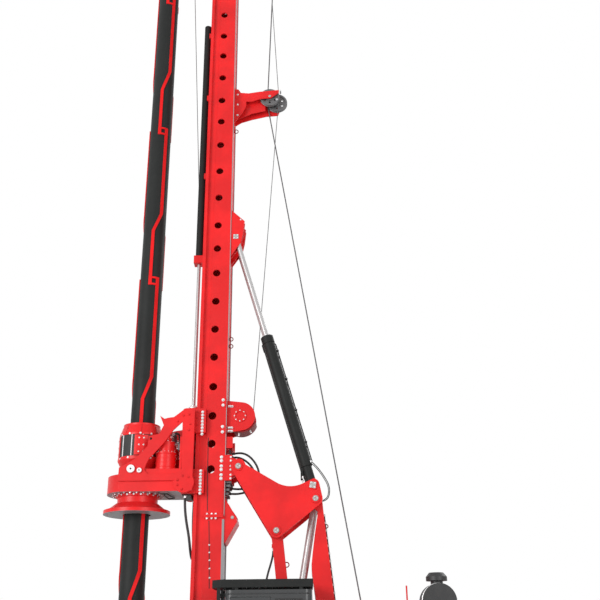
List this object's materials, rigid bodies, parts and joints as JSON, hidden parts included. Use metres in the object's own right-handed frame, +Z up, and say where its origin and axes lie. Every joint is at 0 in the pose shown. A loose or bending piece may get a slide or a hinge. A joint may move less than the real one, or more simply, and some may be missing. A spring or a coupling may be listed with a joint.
{
  "type": "rotary piling rig",
  "caption": "Crawler-mounted rotary piling rig with parallelogram mast linkage, kelly bar and rotary drive, red with dark grey.",
  "frame": {"origin": "on the ground under the slewing axis", "axes": "+X towards the mast and kelly, +Y to the cab side, +Z up"},
  "size_m": [9.16, 4.2, 21.82],
  "materials": {
    "red_paint": "glossy",
    "dark_paint": "satin",
    "track_steel": "worn",
    "steel": "brushed",
    "cast_iron": "matte",
    "chrome": "polished",
    "glass": "polished",
    "black_plastic": "matte",
    "seat_fabric": "matte",
    "rope": "greased",
    "hose": "matte",
    "lamp": "polished"
  },
  "bodies": {
    "undercarriage": {"car_body": "dark_paint"},
    "track_side_left": {"side_frame_left": "dark_paint", "track_left": "track_steel", "track_wheels_left": "dark_paint"},
    "track_side_right": {"side_frame_right": "dark_paint", "track_right": "track_steel", "track_wheels_right": "dark_paint"},
    "upper": {"upper_frame": "red_paint", "cab_shell": "dark_paint", "cab_roof": "dark_paint", "cab_glass": "glass", "cab_roof_guard": "dark_paint", "operator_seat": "seat_fabric", "engine_house": "red_paint", "engine": "cast_iron", "counterweight": "dark_paint", "left_cabinet": "red_paint", "fuel_tank": "red_paint", "air_cleaner": "black_plastic", "main_winch_frame": "red_paint"},
    "cab_door": {"cab_door": "dark_paint", "cab_door_glass": "glass"},
    "house_door_left": {"house_door_left": "red_paint"},
    "house_door_right": {"house_door_right": "red_paint"},
    "main_winch": {"main_winch_drum": "dark_paint"},
    "boom": {"boom": "red_paint"},
    "front_link": {"front_link": "red_paint", "link_hose": "hose"},
    "luff_barrel": {"luff_barrel": "dark_paint"},
    "luff_rod": {"luff_rod": "chrome"},
    "triangle": {"triangle": "red_paint"},
    "backstay_barrels": {"backstay_barrels": "dark_paint"},
    "backstay_rods": {"backstay_rods": "chrome"},
    "mast": {"mast": "red_paint", "mast_lower": "red_paint", "mast_lugs": "red_paint", "crown": "red_paint", "rope_guide": "red_paint", "aux_winch_frame": "red_paint", "crowd_barrel": "dark_paint", "pivot_hose_outer": "hose", "pivot_hose_inner": "hose"},
    "aux_winch": {"aux_winch_drum": "dark_paint"},
    "sled": {"sled": "red_paint", "crowd_rod": "chrome", "rotary_gearbox": "red_paint", "drive_motors": "red_paint", "sled_hose": "hose"},
    "kelly_drive": {"drive_sleeve": "red_paint", "drive_damper": "dark_paint"},
    "kelly_guide": {"kelly_guide": "red_paint", "kelly_swivel": "steel"},
    "kelly": {"kelly_outer": "red_paint", "kelly_inner": "steel"},
    "head_sheave_main_rear": {"head_sheave_main_rear": "dark_paint"},
    "head_sheave_main_front": {"head_sheave_main_front": "dark_paint"},
    "head_sheave_aux_rear": {"head_sheave_aux_rear": "dark_paint"},
    "head_sheave_aux_front": {"head_sheave_aux_front": "dark_paint"},
    "guide_sheave_main": {"guide_sheave_main": "dark_paint"},
    "guide_sheave_aux": {"guide_sheave_aux": "dark_paint"}
  },
  "joints": [
    {"name": "track_gauge_left", "type": "slide", "parent": "undercarriage", "child": "track_side_left", "axis": [0, 1, 0], "range_m": [-0.5, 0]},
    {"name": "track_gauge_right", "type": "slide", "parent": "undercarriage", "child": "track_side_right", "axis": [0, -1, 0], "range_m": [-0.5, 0]},
    {"name": "slew", "type": "hinge", "parent": "undercarriage", "child": "upper", "pos_m": [0, 0, 1.15], "axis": [0, 0, 1], "continuous": true},
    {"name": "cab_door", "type": "hinge", "parent": "upper", "child": "cab_door", "pos_m": [1.174, 1.535, 2.2], "axis": [0, 0, 1], "range_deg": [0, 160]},
    {"name": "house_door_left", "type": "hinge", "parent": "upper", "child": "house_door_left", "pos_m": [-1.7, 1.52, 2], "axis": [0, 0, -1], "range_deg": [0, 120]},
    {"name": "house_door_right", "type": "hinge", "parent": "upper", "child": "house_door_right", "pos_m": [-1.7, -1.52, 2], "axis": [0, 0, 1], "range_deg": [0, 120]},
    {"name": "main_winch", "type": "hinge", "parent": "upper", "child": "main_winch", "pos_m": [-0.93, 0, 2.15], "axis": [0, 1, 0], "continuous": true},
    {"name": "boom_luff", "type": "hinge", "parent": "upper", "child": "boom", "pos_m": [0.07, 0, 2.365], "axis": [0, 1, 0], "range_deg": [-10, 20]},
    {"name": "front_link", "type": "hinge", "parent": "upper", "child": "front_link", "pos_m": [0.84, 0, 1.76], "axis": [0, 1, 0], "range_deg": [-10, 20]},
    {"name": "luff_barrel", "type": "hinge", "parent": "upper", "child": "luff_barrel", "pos_m": [0.875, 0, 2], "axis": [0, 1, 0], "range_deg": [-8.7, 17.4]},
    {"name": "luff_rod", "type": "slide", "parent": "luff_barrel", "child": "luff_rod", "axis": [-0.1752, 0, 0.9845], "range_m": [-0.277, 0.139]},
    {"name": "triangle", "type": "hinge", "parent": "boom", "child": "triangle", "pos_m": [0.35, 0, 4.95], "axis": [0, -1, 0], "range_deg": [-10, 20]},
    {"name": "mast_tilt", "type": "hinge", "parent": "triangle", "child": "mast", "pos_m": [1.88, 0, 5.6], "axis": [0, -1, 0], "range_deg": [-5, 90]},
    {"name": "backstay_barrels", "type": "hinge", "parent": "triangle", "child": "backstay_barrels", "pos_m": [0.4, 0, 5.21], "axis": [0, -1, 0], "range_deg": [-5.5, 98.1]},
    {"name": "backstay_rods", "type": "slide", "parent": "backstay_barrels", "child": "backstay_rods", "axis": [0.2813, 0, 0.9596], "range_m": [-2.07, 0.116]},
    {"name": "aux_winch", "type": "hinge", "parent": "mast", "child": "aux_winch", "pos_m": [1.86, 0, 6.66], "axis": [0, 1, 0], "continuous": true},
    {"name": "crowd_slide", "type": "slide", "parent": "mast", "child": "sled", "axis": [0, 0, 1], "range_m": [-2.2, 3.2]},
    {"name": "drive_spin", "type": "hinge", "parent": "sled", "child": "kelly_drive", "pos_m": [3.92, 0, 5.3], "axis": [0, 0, 1], "continuous": true},
    {"name": "kelly_slide", "type": "slide", "parent": "mast", "child": "kelly_guide", "axis": [0, 0, 1], "range_m": [-1.1, 0.9]},
    {"name": "kelly_spin", "type": "hinge", "parent": "kelly_guide", "child": "kelly", "pos_m": [3.92, 0, 10], "axis": [0, 0, 1], "continuous": true},
    {"name": "head_sheave_main_rear", "type": "hinge", "parent": "mast", "child": "head_sheave_main_rear", "pos_m": [1.42, 0.005, 21.45], "axis": [0, 1, 0], "continuous": true},
    {"name": "head_sheave_main_front", "type": "hinge", "parent": "mast", "child": "head_sheave_main_front", "pos_m": [3.6, 0.005, 21.45], "axis": [0, 1, 0], "continuous": true},
    {"name": "head_sheave_aux_rear", "type": "hinge", "parent": "mast", "child": "head_sheave_aux_rear", "pos_m": [1.65, -0.115, 21.35], "axis": [0, 1, 0], "continuous": true},
    {"name": "head_sheave_aux_front", "type": "hinge", "parent": "mast", "child": "head_sheave_aux_front", "pos_m": [3.25, -0.115, 21.35], "axis": [0, 1, 0], "continuous": true},
    {"name": "guide_sheave_main", "type": "hinge", "parent": "mast", "child": "guide_sheave_main", "pos_m": [1.119, -0.062, 14.6], "axis": [0, 1, 0], "continuous": true},
    {"name": "guide_sheave_aux", "type": "hinge", "parent": "mast", "child": "guide_sheave_aux", "pos_m": [1.292, 0.062, 14.68], "axis": [0, 1, 0], "continuous": true}
  ],
  "couplings": [
    {"joint": "front_link", "follows": "boom_luff", "ratio": 1},
    {"joint": "triangle", "follows": "boom_luff", "ratio": 1},
    {"joint": "luff_barrel", "follows": "boom_luff", "ratio": 0.866},
    {"joint": "luff_rod", "follows": "boom_luff", "m_per_rad": -0.791},
    {"joint": "backstay_barrels", "follows": "mast_tilt", "ratio": 1.0885},
    {"joint": "backstay_rods", "follows": "mast_tilt", "m_per_rad": -1.314},
    {"joint": "kelly_spin", "follows": "drive_spin", "ratio": 1}
  ]
}
